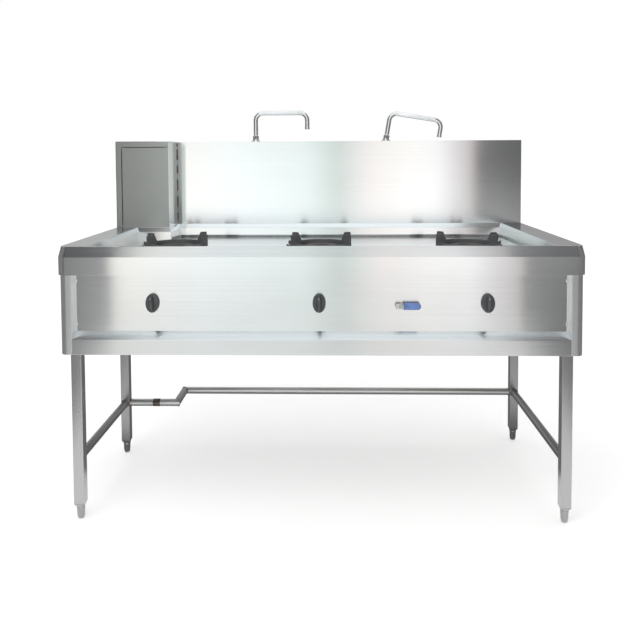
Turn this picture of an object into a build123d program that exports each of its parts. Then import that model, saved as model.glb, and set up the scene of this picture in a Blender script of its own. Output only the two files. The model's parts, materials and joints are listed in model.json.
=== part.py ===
from build123d import *
import os
from math import cos, hypot, radians, sin

os.makedirs("parts", exist_ok=True)

# Three-burner wok range on an open stand. Millimetres, +Z up, X to the viewer's right, +Y to the wall.
# The origin is on the floor under the middle of the range.

# ---- overall
rim_half_width = 742.0
rim_front = -375.0
rim_rear = 375.0
table_height = 800.0
splash_height = 308.0          # splashback above the table
sheet = 1.5                    # thickness of every folded sheet

# ---- the notch in the rear left corner, made to stand round a wall pillar
notch_x = -612.0               # face of the notch that looks left
notch_y = 240.0                # face of the notch that looks to the wall

# ---- worktop rim
fascia_height = 51.0
bevel_rise = 29.0
bevel_front_run = 12.0
bevel_side_run = 4.0
rim_corner_radius = 25.0
rim_side_flat = 66.0           # flat top between the bevel and the basin at the sides
rim_front_flat = 8.0           # and at the front, where the rim is little more than a ridge
basin_depth = 50.0
basin_side_run = 9.0           # how far a side wall leans in over its depth
basin_front_run = 58.0
hem_width = 5.0                # folded edge under the fascia

# ---- splashback
splash_half_width = 738.0
splash_thickness = 65.0
splash_front = rim_rear - splash_thickness
notch_splash_front = notch_y - 67.0
return_x = notch_x + 65.0      # wall between the two splash faces
trim_width = 18.0
trim_proud = 3.0
upstand_slope_run = 6.0
upstand_slope_drop = 16.0
upstand_foot_run = 10.0
drain_gap = 9.0                # slot under the rear upstand
gutter_width = 30.0
gutter_drop = 15.0

# ---- body under the worktop
body_inset = 5.0               # body skin behind the fascia
flange_width = 35.0
panel_recess = 22.0
body_drop = 308.0              # body's lower edge below the table
rail_height = 44.0
rail_slope_rise = 20.0
rail_lip = 15.0
skin_tuck = 48.0               # how far the skins run up behind the fascia

# ---- stand
leg_width = 30.0
leg_wall = 1.5
leg_inset = 42.0               # leg centre inside the rim's side
rear_leg_y = 253.5
notch_leg_y = 123.0
foot_height = 36.0
foot_diameter = 24.0
foot_pad_diameter = 16.0
foot_stud_diameter = 10.0
foot_stud_length = 40.0
foot_stud_clearance = 0.05
insert_taper = 10.0
insert_plug = 24.0
stretcher_diameter = 25.0
stretcher_wall = 1.5
stretcher_z = 180.0
stretcher_jog_x = -518.0

# ---- under-deck frame
beam_size = 30.0
beam_wall = 2.0
burner_rail_width = 22.0
burner_rail_thickness = 5.0
burner_rail_spread = 60.0      # between the two bars that carry one burner

# ---- burners
burner_spacing = 475.0
burner_y = -25.0
deck_hole_diameter = 140.0
burner_head_diameter = 110.0
burner_head_rise = 12.0        # head top above the deck
burner_head_height = 17.0
burner_cup_diameter = 92.0
burner_slot_width = 3.0
burner_slot_depth = 8.0
burner_slot_count = 18
venturi_diameter = 26.0
venturi_length = 110.0
venturi_axis_drop = 17.0       # venturi axis below the deck's top

# ---- grates
grate_outer_diameter = 200.0
grate_ring_width = 20.0
grate_ring_height = 19.7
grate_seat_gap = 0.3
grate_fin_thickness = 9.0
grate_fin_angle = 25.0
grate_prong_height = 49.0      # prong tips above the deck
grate_prong_reach = 106.0
grate_lug_reach = 121.0
grate_turns = {"left": 12.8, "centre": 0.0, "right": 169.4}

# ---- gas line
manifold_diameter = 27.0
manifold_wall = 3.0
manifold_y = -300.0
manifold_drop = 200.0
manifold_left_end = -530.0
manifold_bracket_x = 300.0     # a bracket either side of the middle
manifold_bracket_width = 30.0
manifold_bracket_height = 28.0
manifold_bracket_sheet = 3.0
bracket_seat_gap = 0.3
gas_inlet_x = 600.0
manifold_bend_radius = 45.0
inlet_thread_diameter = 20.96
inlet_bore_diameter = 15.0
inlet_collar_diameter = 27.0
inlet_collar_length = 16.0
inlet_reach = 17.0             # threaded stub under the collar
inlet_wall_gap = 35.0          # inlet's centre in front of the rear panel
inlet_drop = 60.0              # collar's top below the run of its pipe
inlet_undercut_diameter = 18.6
inlet_undercut_length = 2.0
cock_size = 26.0
cock_length = 36.0
cock_riser_diameter = 14.0
feed_pipe_diameter = 8.0
feed_pipe_wall = 1.0
feed_bend_radius = 16.0
knob_drop = 163.0
knob_width = 38.0
knob_height = 55.0
knob_depth = 25.0
knob_edge_radius = 4.0
knob_gap = 2.0
knob_socket_depth = 16.0
stem_diameter = 8.0
stem_engagement = 14.0
stem_clearance = 0.05
stem_hole_diameter = 12.0

# ---- water line
valve_x = 232.0
valve_drop = 170.0
valve_body_diameter = 26.0
valve_body_length = 56.0
valve_body_y = -328.0
bonnet_diameter = 16.0
bonnet_hole_diameter = 17.0
bonnet_reach = 10.0            # bonnet in front of the panel
lever_length = 54.0
lever_tail = 17.0
lever_width = 19.0
lever_thickness = 3.0
lever_grip_thickness = 6.5
lever_grip_start = 5.0
lever_nut_flats = 13.0
lever_nut_height = 5.0
water_pipe_diameter = 16.0
water_pipe_wall = 1.2
water_bend_radius = 32.0
water_riser_x = 170.0
water_inlet_x = 320.0
water_header_drop = 38.0       # header below the splashback's top
pipe_hole_clearance = 1.5

# ---- swing spouts
left_spout_x = -253.0
right_spout_x = 239.0
right_spout_lean = 9.5
spout_base_y = splash_front + splash_thickness / 2
spout_flange_diameter = 34.0
spout_flange_height = 4.0
spout_ball_diameter = 26.0
spout_collar_diameter = 22.0
spout_collar_top = 24.0
spout_socket_depth = 14.0
spout_pin_diameter = 12.0
spout_pin_clearance = 0.05
spout_tail_diameter = 14.0
spout_tail_length = 20.0
spout_diameter = 17.0
spout_wall = 1.5
spout_height = 108.0           # arm centreline above the splashback
spout_reach = 195.0
spout_drop = 62.0
spout_bend_radius = 28.0
spout_seat_gap = 0.3

# ---- fasteners
screw_head_diameter = 8.0
screw_head_height = 2.4
screw_shank_diameter = 4.0
screw_shank_length = 8.0
screw_hole_clearance = 0.1
screw_edge = 7.0
screw_inset_z = 20.0

# ---- values worked out from the sizes above
splash_top = table_height + splash_height
fascia_bottom = table_height - bevel_rise - fascia_height
bevel_bottom = table_height - bevel_rise
ridge_front = rim_front + bevel_front_run
flat_inner_x = rim_half_width - bevel_front_run - rim_side_flat
flat_inner_front = ridge_front + rim_front_flat
deck_top = table_height - basin_depth
deck_bottom = deck_top - sheet
basin_bottom_x = flat_inner_x - basin_side_run
basin_bottom_front = flat_inner_front + basin_front_run
body_half_width = rim_half_width - hem_width
body_front = rim_front + body_inset
body_rear = rim_rear - body_inset
body_corner_radius = rim_corner_radius - body_inset
panel_front = body_front + panel_recess
panel_back = panel_front + sheet
flange_inner_x = body_half_width - flange_width
skin_top = fascia_bottom + skin_tuck
body_bottom = table_height - body_drop
rail_top = body_bottom + rail_height
slope_top = rail_top + rail_slope_rise
manifold_z = table_height - manifold_drop
knob_z = table_height - knob_drop
valve_z = table_height - valve_drop
water_header_z = splash_top - water_header_drop
leg_top = table_height - sheet
leg_centre_x = rim_half_width - leg_inset
front_leg_y = panel_back + leg_width / 2
leg_inner_x = leg_centre_x - leg_width / 2
leg_bottom = foot_height + insert_taper
beam_top = deck_bottom
beam_bottom = beam_top - beam_size
beam_front_y = panel_back + beam_size / 2
burner_xs = {"left": -burner_spacing, "centre": 0.0, "right": burner_spacing}
spout_xs = {"left": (left_spout_x, 0.0), "right": (right_spout_x, right_spout_lean)}
legs = {
    "front_left": (-leg_centre_x, front_leg_y),
    "front_right": (leg_centre_x, front_leg_y),
    "rear_left": (-leg_centre_x, notch_leg_y),
    "rear_right": (leg_centre_x, rear_leg_y),
}

written = []


def save(node, *solids):
    """Write one node's solids to its STEP file."""
    shape = solids[0] if len(solids) == 1 else Compound(children=list(solids))
    export_step(shape, f"parts/{node}.step")
    written.append(node)


def block(x0, x1, y0, y1, z0, z1):
    """A box between two corners."""
    size = Box(abs(x1 - x0), abs(y1 - y0), abs(z1 - z0))
    return Pos((x0 + x1) / 2, (y0 + y1) / 2, (z0 + z1) / 2) * size


def rod(start, end, diameter):
    """A round bar between two points."""
    axis = Vector(*end) - Vector(*start)
    plane = Plane(origin=start, z_dir=axis)
    return plane * Cylinder(diameter / 2, axis.length, align=(Align.CENTER, Align.CENTER, Align.MIN))


def plan(points, z):
    """A flat face from plan points at one height."""
    return Pos(0, 0, z) * make_face(Polyline(*points, close=True))


def side_profile(points):
    """A face in the Y-Z plane from (y, z) points."""
    return Plane.YZ * make_face(Polyline(*points, close=True))


def run_along_x(points, x0, x1):
    """A (y, z) profile extruded from x0 to x1."""
    return Pos(x0, 0, 0) * extrude(side_profile(points), amount=x1 - x0)


def notched(half_width, front, rear, corner_x, corner_y):
    """The range's plan with its rear left corner cut out, clockwise from the front left."""
    return [(-half_width, front), (half_width, front), (half_width, rear),
            (corner_x, rear), (corner_x, corner_y), (-half_width, corner_y)]


def bent_pipe(points, radius, diameter, wall=0.0):
    """A pipe through the points with round bends, hollow if it has a wall."""
    path = FilletPolyline(*points, radius=radius)
    start = Plane(origin=path @ 0, z_dir=path % 0)
    pipe = sweep(start * Circle(diameter / 2), path=path)
    if wall:
        pipe -= sweep(start * Circle(diameter / 2 - wall), path=path)
    return pipe


def square_tube_z(x, y, z0, z1, width, wall):
    """An upright square tube."""
    outer = block(x - width / 2, x + width / 2, y - width / 2, y + width / 2, z0, z1)
    half = width / 2 - wall
    return outer - block(x - half, x + half, y - half, y + half, z0, z1)


# ---- worktop: a folded rim round a sunken basin, split where its sheets are welded
def rounded_plan(half_width, front, rear, corner_x, corner_y, z, radius):
    """The notched plan with its two front corners rounded."""
    face = plan(notched(half_width, front, rear, corner_x, corner_y), z)
    corners = face.vertices().sort_by(Axis.Y)[:2]
    return fillet(corners, radius)


def rim_hull(inset):
    """The rim's outside as a solid, moved inwards by inset."""
    half, front, rear = rim_half_width - inset, rim_front + inset, rim_rear - inset
    radius = rim_corner_radius - inset
    base = (half, front, rear, notch_x + inset, notch_y - inset)
    top = (half - bevel_side_run, ridge_front + inset, rear, notch_x + inset, notch_y - inset)
    skirt = extrude(rounded_plan(*base, fascia_bottom, radius), amount=fascia_height)
    crown = loft([rounded_plan(*base, bevel_bottom, radius),
                  rounded_plan(*top, table_height - inset, radius)], ruled=True)
    return skirt + crown


def basin_hull(grow):
    """The basin's inside as a solid, its walls moved outwards by grow."""
    depth = table_height - deck_bottom
    front_grow = grow * hypot(1, basin_front_run / depth)
    levels = [(0.0, 0.0), (upstand_slope_drop, upstand_slope_run), (depth, upstand_foot_run)]
    faces = []
    for drop, rear_run in levels:
        z, share = table_height - drop, drop / depth
        points = notched(flat_inner_x - share * basin_side_run + grow,
                         flat_inner_front + share * basin_front_run - front_grow,
                         splash_front - rear_run + grow, return_x + rear_run - grow,
                         notch_splash_front - rear_run + grow)
        faces.append(plan(points, z))
    return loft(faces[:2], ruled=True) + loft(faces[1:], ruled=True)


basin = basin_hull(0.0)
skin = rim_hull(0.0) - rim_hull(sheet) - basin
walls = basin_hull(sheet) - basin - block(-rim_half_width, rim_half_width, rim_front, rim_rear,
                                          table_height - sheet, table_height)
hem_outer = extrude(rounded_plan(rim_half_width - sheet, rim_front + sheet, rim_rear - sheet,
                                 notch_x + sheet, notch_y - sheet, fascia_bottom,
                                 rim_corner_radius - sheet), amount=sheet)
hem_hole = extrude(rounded_plan(body_half_width, body_front, body_rear, notch_x + hem_width,
                                notch_y - hem_width, fascia_bottom, body_corner_radius), amount=sheet)
front_ledge = block(-flange_inner_x, flange_inner_x, body_front, panel_front,
                    fascia_bottom, fascia_bottom + sheet)
drain_slot = block(return_x + upstand_foot_run, basin_bottom_x, splash_front - upstand_foot_run - sheet,
                   splash_front, deck_bottom, deck_top + drain_gap)
riser_hole = Pos(water_riser_x, spout_base_y, table_height) * Cylinder(
    water_pipe_diameter / 2 + pipe_hole_clearance, 4 * sheet)
rim = skin + walls + (hem_outer - hem_hole) - drain_slot - riser_hole

upstand_foot_y = splash_front - upstand_foot_run
notch_foot_y = notch_splash_front - upstand_foot_run
return_foot_x = return_x + upstand_foot_run
low, high = fascia_bottom - sheet, table_height + sheet
far = 2 * rim_half_width
# the front sheet ends on a weld that halves the round corner, crosses the flat and goes down the basin's corner
weld = [(far, rim_front + rim_half_width - far), (rim_half_width - bevel_front_run, ridge_front),
        (flat_inner_x, flat_inner_front), (basin_bottom_x, basin_bottom_front)]
front_outline = weld + [(-x, y) for x, y in reversed(weld)]
front_zone = extrude(plan(front_outline, low), amount=high - low)
rest = rim - front_zone
save("rim_front", (rim & front_zone) + front_ledge)
save("rim_left", rest & block(-far, 0, rim_front - sheet, notch_foot_y, low, high))
save("rim_right", rest & block(0, far, rim_front - sheet, upstand_foot_y, low, high))
save("rim_notch", rest & block(-far, return_foot_x, notch_foot_y, rim_rear + sheet, low, high))
save("rim_rear", rest & block(return_foot_x, far, upstand_foot_y, rim_rear + sheet, low, high))

# ---- basin floor with its burner holes, and the gutter behind the upstand
deck_plan = notched(basin_bottom_x, basin_bottom_front, upstand_foot_y, return_foot_x, notch_foot_y)
deck = extrude(plan(deck_plan, deck_bottom), amount=sheet) & basin
for x in burner_xs.values():
    deck -= Pos(x, burner_y, deck_bottom) * Cylinder(deck_hole_diameter / 2, 4 * sheet)
save("deck", deck)

gutter_front = upstand_foot_y
gutter_rear = gutter_front + gutter_width
gutter_floor = deck_bottom - gutter_drop
gutter_ends = (return_foot_x, basin_bottom_x)
gutter = block(*gutter_ends, gutter_front, gutter_rear, gutter_floor, gutter_floor + sheet)
gutter += block(*gutter_ends, gutter_front, gutter_front + sheet, gutter_floor, deck_top)
gutter += block(*gutter_ends, gutter_rear - sheet, gutter_rear, gutter_floor, table_height - sheet)
for x0 in (gutter_ends[0], gutter_ends[1] - sheet):
    gutter += block(x0, x0 + sheet, gutter_front, gutter_rear, gutter_floor, deck_top)
save("drain_gutter", gutter)

# ---- front: recessed panel and the sloped rail under it
panel = block(-flange_inner_x - flange_width / 2, flange_inner_x + flange_width / 2,
              panel_front, panel_back, slope_top, skin_top)
for x in burner_xs.values():
    panel -= rod((x, panel_front - sheet, knob_z), (x, panel_back + sheet, knob_z), stem_hole_diameter)
panel -= rod((valve_x, panel_front - sheet, valve_z), (valve_x, panel_back + sheet, valve_z),
             bonnet_hole_diameter)
screw_spots = [(side * (flange_inner_x - screw_edge), z) for side in (-1, 1)
               for z in (fascia_bottom - screw_inset_z, slope_top + screw_inset_z)]
screw_hole_diameter = screw_shank_diameter + 2 * screw_hole_clearance
screws = []
for x, z in screw_spots:
    panel -= rod((x, panel_front - sheet, z), (x, panel_back + sheet, z), screw_hole_diameter)
    head = rod((x, panel_front, z), (x, panel_front - screw_head_height, z), screw_head_diameter)
    head = fillet(head.edges().sort_by(Axis.Y)[0], screw_head_height * 0.7)
    screws.append(head + rod((x, panel_front, z), (x, panel_front + screw_shank_length, z),
                             screw_shank_diameter))
save("front_panel", panel)
save("panel_screws", *screws)

rail = run_along_x([(panel_front, slope_top), (body_front, rail_top), (body_front, body_bottom),
                    (body_front + rail_lip, body_bottom), (body_front + rail_lip, body_bottom + sheet),
                    (body_front + sheet, body_bottom + sheet), (body_front + sheet, rail_top - sheet / 2),
                    (panel_back, slope_top - sheet), (panel_back, slope_top)],
                   -flange_inner_x, flange_inner_x)
save("bottom_rail", rail)


# ---- side, rear and notch skins
def folded_skin(side, rear):
    """A side panel folded round its front corner, with a flange and a return lip."""
    inner_face = body_half_width - sheet
    outer = block(side * flange_inner_x, side * body_half_width, body_front, rear, body_bottom, skin_top)
    corner = outer.edges().filter_by(Axis.Z).sort_by(Axis.Y)[:2].sort_by(Axis.X)[-1 if side > 0 else 0]
    outer = fillet(corner, body_corner_radius)
    core = block(side * (flange_inner_x + sheet), side * inner_face, body_front + sheet, rear + sheet,
                 body_bottom, skin_top)
    corner = core.edges().filter_by(Axis.Z).sort_by(Axis.Y)[:2].sort_by(Axis.X)[-1 if side > 0 else 0]
    core = fillet(corner, body_corner_radius - sheet)
    behind_lip = block(side * (flange_inner_x - sheet), side * inner_face, panel_front, rear + sheet,
                       body_bottom, skin_top)
    return outer - core - behind_lip


save("side_panel_left", folded_skin(-1, notch_y - hem_width))
save("side_panel_right", folded_skin(1, body_rear))

notch_skin_x = notch_x + hem_width
notch_skin_y = notch_y - hem_width
rear_panel = block(notch_skin_x, body_half_width - sheet, body_rear - sheet, body_rear, body_bottom, skin_top)
save("rear_panel", rear_panel)
notch_panel = block(-body_half_width + sheet, notch_skin_x + sheet, notch_skin_y - sheet, notch_skin_y,
                    body_bottom, skin_top)
notch_panel += block(notch_skin_x, notch_skin_x + sheet, notch_skin_y, body_rear - sheet,
                     body_bottom, skin_top)
save("notch_panel", notch_panel)

# ---- splashback: a hollow wall with a stepped plan
cap_bottom = splash_top - sheet
end_inner_x = splash_half_width - sheet
save("splash_main", block(return_x - sheet, end_inner_x, splash_front, splash_front + sheet,
                          table_height, cap_bottom))
save("splash_return", block(return_x - sheet, return_x, notch_splash_front, splash_front,
                            table_height, cap_bottom))
notch_panel_front = notch_splash_front + trim_proud
left_panel = block(-end_inner_x, return_x - sheet, notch_panel_front, notch_panel_front + sheet,
                   table_height, cap_bottom)
left_panel += block(-end_inner_x, return_x - sheet, notch_splash_front, notch_panel_front,
                    cap_bottom - trim_width, cap_bottom)
left_panel += block(-end_inner_x, -end_inner_x + trim_width, notch_splash_front, notch_panel_front,
                    table_height, cap_bottom)
save("splash_left_panel", left_panel)
back = block(notch_x, end_inner_x, rim_rear - sheet, rim_rear, table_height, cap_bottom)
back += block(notch_x, notch_x + sheet, notch_y - sheet, rim_rear, table_height, cap_bottom)
back += block(-end_inner_x, notch_x, notch_y - sheet, notch_y, table_height, cap_bottom)
save("splash_back", back)
save("splash_end_right", block(end_inner_x, splash_half_width, splash_front, rim_rear,
                               table_height, cap_bottom))
save("splash_end_left", block(-splash_half_width, -end_inner_x, notch_splash_front, notch_y,
                              table_height, cap_bottom))
cap_plan = [(-splash_half_width, notch_splash_front), (return_x, notch_splash_front),
            (return_x, splash_front), (splash_half_width, splash_front), (splash_half_width, rim_rear),
            (notch_x, rim_rear), (notch_x, notch_y), (-splash_half_width, notch_y)]
cap = extrude(plan(cap_plan, cap_bottom), amount=sheet)
for x, _ in spout_xs.values():
    cap -= Pos(x, spout_base_y, cap_bottom) * Cylinder(spout_tail_diameter / 2, 4 * sheet)
save("splash_cap", cap)

# ---- stand: square legs, their foot inserts and screw feet
inserts = []
for name, (x, y) in legs.items():
    leg = square_tube_z(x, y, leg_bottom, leg_top, leg_width, leg_wall)
    for screw_x, screw_z in screw_spots:
        leg -= rod((screw_x, panel_front, screw_z), (screw_x, panel_back + 2 * leg_wall, screw_z),
                   screw_hole_diameter)
    save(f"leg_{name}", leg)
    plug_width = leg_width - 2 * leg_wall
    plug = block(x - plug_width / 2, x + plug_width / 2, y - plug_width / 2, y + plug_width / 2,
                 leg_bottom, leg_bottom + insert_plug)
    taper = loft([Pos(x, y, foot_height) * Circle(foot_diameter / 2),
                  Pos(x, y, leg_bottom) * Rectangle(leg_width, leg_width)])
    bore = Pos(x, y, foot_height) * Cylinder(foot_stud_diameter / 2 + foot_stud_clearance,
                                             2 * (insert_taper + insert_plug) + 2)
    inserts.append(plug + taper - bore)
    pad, waist = foot_pad_diameter / 2, foot_diameter / 2
    crown = (waist - pad) / 2
    outline = make_face(Polyline((0, 0), (pad, 0), (pad + crown, crown), (waist - 1, 4 * crown),
                                 (waist, foot_height), (0, foot_height), close=True))
    foot = revolve(Plane.XZ * outline, axis=Axis.Z)
    stud = Pos(0, 0, foot_height) * Cylinder(foot_stud_diameter / 2, foot_stud_length,
                                             align=(Align.CENTER, Align.CENTER, Align.MIN))
    save(f"foot_{name}", Pos(x, y, 0) * (foot + stud))
save("leg_inserts", *inserts)


# ---- stand: round stretchers, the rear one stepped forward to clear the notch
def stretcher(start, end):
    """A round tube between two points."""
    return rod(start, end, stretcher_diameter) - rod(start, end, stretcher_diameter - 2 * stretcher_wall)


half_leg = leg_width / 2
save("side_stretcher_left", stretcher((-leg_centre_x, front_leg_y + half_leg, stretcher_z),
                                      (-leg_centre_x, notch_leg_y - half_leg, stretcher_z)))
save("side_stretcher_right", stretcher((leg_centre_x, front_leg_y + half_leg, stretcher_z),
                                       (leg_centre_x, rear_leg_y - half_leg, stretcher_z)))


def mitre_side(x, y, left):
    """Everything on one side of a 45 degree upright plane through (x, y)."""
    half = 2 * far
    line = [(x - half, y + half), (x + half, y - half)]
    third = (x - half, y - half) if left else (x + half, y + half)
    return Pos(0, 0, stretcher_z - half) * extrude(make_face(Polyline(*line, third, close=True)),
                                                   amount=2 * half)


reach = stretcher_diameter
short = stretcher((-leg_inner_x, notch_leg_y, stretcher_z),
                  (stretcher_jog_x + reach, notch_leg_y, stretcher_z))
link = stretcher((stretcher_jog_x, notch_leg_y - reach, stretcher_z),
                 (stretcher_jog_x, rear_leg_y + reach, stretcher_z))
long = stretcher((stretcher_jog_x - reach, rear_leg_y, stretcher_z), (leg_inner_x, rear_leg_y, stretcher_z))
save("rear_stretcher_short", short & mitre_side(stretcher_jog_x, notch_leg_y, True))
save("rear_stretcher_link", link & mitre_side(stretcher_jog_x, notch_leg_y, False)
     & mitre_side(stretcher_jog_x, rear_leg_y, True))
save("rear_stretcher_long", long & mitre_side(stretcher_jog_x, rear_leg_y, False))


# ---- frame under the deck
def beam(x0, x1, y):
    """A square tube across the range."""
    outer = block(x0, x1, y - beam_size / 2, y + beam_size / 2, beam_bottom, beam_top)
    half = beam_size / 2 - beam_wall
    return outer - block(x0, x1, y - half, y + half, beam_bottom + beam_wall, beam_top - beam_wall)


save("beam_front", beam(-leg_inner_x, leg_inner_x, beam_front_y))
save("beam_rear", beam(notch_skin_x + sheet, leg_inner_x, rear_leg_y))
rails = []
for x in burner_xs.values():
    for middle in (x - burner_rail_spread / 2, x + burner_rail_spread / 2):
        rails.append(block(middle - burner_rail_width / 2, middle + burner_rail_width / 2,
                           beam_front_y - beam_size / 2, rear_leg_y + beam_size / 2,
                           beam_bottom - burner_rail_thickness, beam_bottom))
save("burner_rails", *rails)


# ---- burners
head_top = deck_top + burner_head_rise
head_bottom = head_top - burner_head_height
venturi_z = deck_top - venturi_axis_drop
venturi_mouth = burner_y - burner_cup_diameter / 2 - venturi_length


def burner(x):
    """A cast burner: cup, slotted head and the mixing tube that reaches to the jet."""
    centre = Pos(x, burner_y, 0)
    low_align = (Align.CENTER, Align.CENTER, Align.MIN)
    cup = centre * Pos(0, 0, beam_bottom) * Cylinder(burner_cup_diameter / 2, head_bottom - beam_bottom,
                                                     align=low_align)
    head = centre * Pos(0, 0, head_bottom) * Cylinder(burner_head_diameter / 2, burner_head_height,
                                                      align=low_align)
    head = chamfer(head.edges().group_by(Axis.Z)[-1], burner_head_height / 4)
    head -= centre * Pos(0, 0, head_top) * Cone(burner_head_diameter / 6, burner_head_diameter / 3,
                                                burner_head_height)
    slot = Box(burner_slot_depth * 2, burner_slot_width, burner_head_height / 2)
    for angle in range(burner_slot_count):
        head -= centre * Rot(0, 0, 360 / burner_slot_count * angle) * Pos(
            burner_head_diameter / 2, 0, head_bottom + burner_head_height / 2) * slot
    tube = rod((x, burner_y, venturi_z), (x, venturi_mouth, venturi_z), venturi_diameter)
    bore = rod((x, venturi_mouth + venturi_length, venturi_z), (x, venturi_mouth - 1, venturi_z),
               venturi_diameter * 0.7)
    return cup + head + tube - bore


for name, x in burner_xs.items():
    save(f"burner_{name}", burner(x))


# ---- grates
def fin(outline, angle):
    """An upright plate on the ring, from its (reach, height) outline."""
    plate = extrude(Plane.XZ * make_face(Polyline(*outline, close=True)),
                    amount=grate_fin_thickness / 2, both=True)
    return Rot(0, 0, angle) * plate


def grate(x, turn):
    """A cast ring with four raised fins in two pairs, one pair with lugs to lift it by."""
    floor = deck_top + grate_seat_gap
    top = floor + grate_ring_height
    tips = deck_top + grate_prong_height
    outer, inner = grate_outer_diameter / 2, grate_outer_diameter / 2 - grate_ring_width
    ring = revolve(Plane.XZ * make_face(Polyline((inner, floor), (outer, floor), (outer - 2, top - 3),
                                                 (outer - 5, top), (inner + 4, top), close=True)),
                   axis=Axis.Z)
    lug_floor = floor + grate_ring_height / 3
    prong = [(inner + 2, lug_floor), (inner - 10, top - 6), (grate_prong_reach - 20, tips),
             (grate_prong_reach, tips)]
    lug = [(grate_prong_reach, top + 2), (grate_lug_reach - 8, top - 5), (grate_lug_reach - 3, top + 1),
           (grate_lug_reach, top), (grate_lug_reach, lug_floor)]
    for side in (-grate_fin_angle, grate_fin_angle):
        ring += fin(prong + [(grate_prong_reach, lug_floor)], side)
        ring += fin(prong + lug, 180 + side)
    return Pos(x, burner_y, 0) * Rot(0, 0, turn) * ring


for name, x in burner_xs.items():
    save(f"grate_{name}", grate(x, grate_turns[name]))

# ---- gas line: manifold, cocks, pipes to the jets
inlet_y = body_rear - inlet_wall_gap


def inlet(x, top, bore):
    """A collar on a pipe that points down, and a threaded stub under it, undercut where the thread ends."""
    shoulder = top - inlet_collar_length
    end = shoulder - inlet_reach
    stub = rod((x, inlet_y, top), (x, inlet_y, shoulder), inlet_collar_diameter)
    stub += rod((x, inlet_y, shoulder), (x, inlet_y, end), inlet_undercut_diameter)
    stub += rod((x, inlet_y, shoulder - inlet_undercut_length), (x, inlet_y, end), inlet_thread_diameter)
    return stub - rod((x, inlet_y, top + 1), (x, inlet_y, end - 1), bore)


gas_collar_top = manifold_z - inlet_drop
manifold = bent_pipe([(manifold_left_end, manifold_y, manifold_z), (gas_inlet_x, manifold_y, manifold_z),
                      (gas_inlet_x, inlet_y, manifold_z), (gas_inlet_x, inlet_y, gas_collar_top)],
                     manifold_bend_radius, manifold_diameter, manifold_wall)
manifold += rod((manifold_left_end - sheet, manifold_y, manifold_z),
                (manifold_left_end, manifold_y, manifold_z), manifold_diameter)
manifold += inlet(gas_inlet_x, gas_collar_top, inlet_bore_diameter)
save("gas_manifold", manifold)

brackets = []
seat_diameter = manifold_diameter + 2 * bracket_seat_gap
half_bracket, half_plate = manifold_bracket_width / 2, manifold_bracket_sheet / 2
bracket_bottom = manifold_z - manifold_bracket_height
for x in (-manifold_bracket_x, manifold_bracket_x):
    bracket = block(x - half_bracket, x + half_bracket, panel_back, panel_back + manifold_bracket_sheet,
                    bracket_bottom, manifold_z)
    bracket += block(x - half_plate, x + half_plate, panel_back, manifold_y + seat_diameter / 2 + sheet,
                     bracket_bottom, manifold_z)
    brackets.append(bracket - rod((x - half_bracket, manifold_y, manifold_z),
                                  (x + half_bracket, manifold_y, manifold_z), seat_diameter))
save("manifold_brackets", *brackets)

cock_back = manifold_y
cock_front = cock_back - cock_length
riser_y = cock_back - cock_riser_diameter / 2
cock_top = knob_z + cock_size / 2
cocks, feeds = [], []
for x in burner_xs.values():
    cock = block(x - cock_size / 2, x + cock_size / 2, cock_front, cock_back,
                 knob_z - cock_size / 2, cock_top)
    cock = chamfer(cock.edges().filter_by(Axis.Y), 3)
    cock += rod((x, riser_y, manifold_z), (x, riser_y, knob_z), cock_riser_diameter)
    cock -= rod((x, riser_y, manifold_z), (x, manifold_y + 20, manifold_z), 1)
    cock -= rod((manifold_left_end, manifold_y, manifold_z), (gas_inlet_x, manifold_y, manifold_z),
                manifold_diameter)
    cock -= rod((x, cock_front, knob_z), (x, cock_front + stem_engagement, knob_z),
                stem_diameter + 2 * stem_clearance)
    cocks.append(cock)
    jet_end = venturi_mouth + 6
    feeds.append(bent_pipe([(x, riser_y, cock_top), (x, riser_y, venturi_z), (x, jet_end, venturi_z)],
                           feed_bend_radius, feed_pipe_diameter, feed_pipe_wall))
save("gas_cocks", *cocks)
save("burner_feed_pipes", *feeds)


# ---- knobs and their stems
knob_back = panel_front - knob_gap
stem_tip = knob_back - knob_socket_depth


def knob(x):
    """An oval knob with a rounded front edge and a socket for its stem."""
    plane = Plane(origin=(x, knob_back, knob_z), x_dir=(1, 0, 0), z_dir=(0, -1, 0))
    body = extrude(plane * Ellipse(knob_width / 2, knob_height / 2), amount=knob_depth)
    body = fillet(body.faces().sort_by(Axis.Y)[0].edges(), knob_edge_radius)
    return body - rod((x, knob_back, knob_z), (x, stem_tip, knob_z), stem_diameter)


for name, x in burner_xs.items():
    save(f"knob_{name}", knob(x))
    save(f"cock_stem_{name}", rod((x, cock_front + stem_engagement - 1, knob_z), (x, stem_tip, knob_z),
                                  stem_diameter))

# ---- water valve and its lever
bonnet_front = panel_front - bonnet_reach
half_valve = valve_body_length / 2
valve = rod((valve_x - half_valve, valve_body_y, valve_z), (valve_x + half_valve, valve_body_y, valve_z),
            valve_body_diameter)
valve = chamfer(valve.edges().filter_by(GeomType.CIRCLE), 2)
valve += rod((valve_x, valve_body_y, valve_z), (valve_x, bonnet_front, valve_z), bonnet_diameter)
valve -= rod((valve_x, bonnet_front, valve_z), (valve_x, bonnet_front + stem_engagement, valve_z),
             stem_diameter + 2 * stem_clearance)
save("water_valve", valve)

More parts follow.
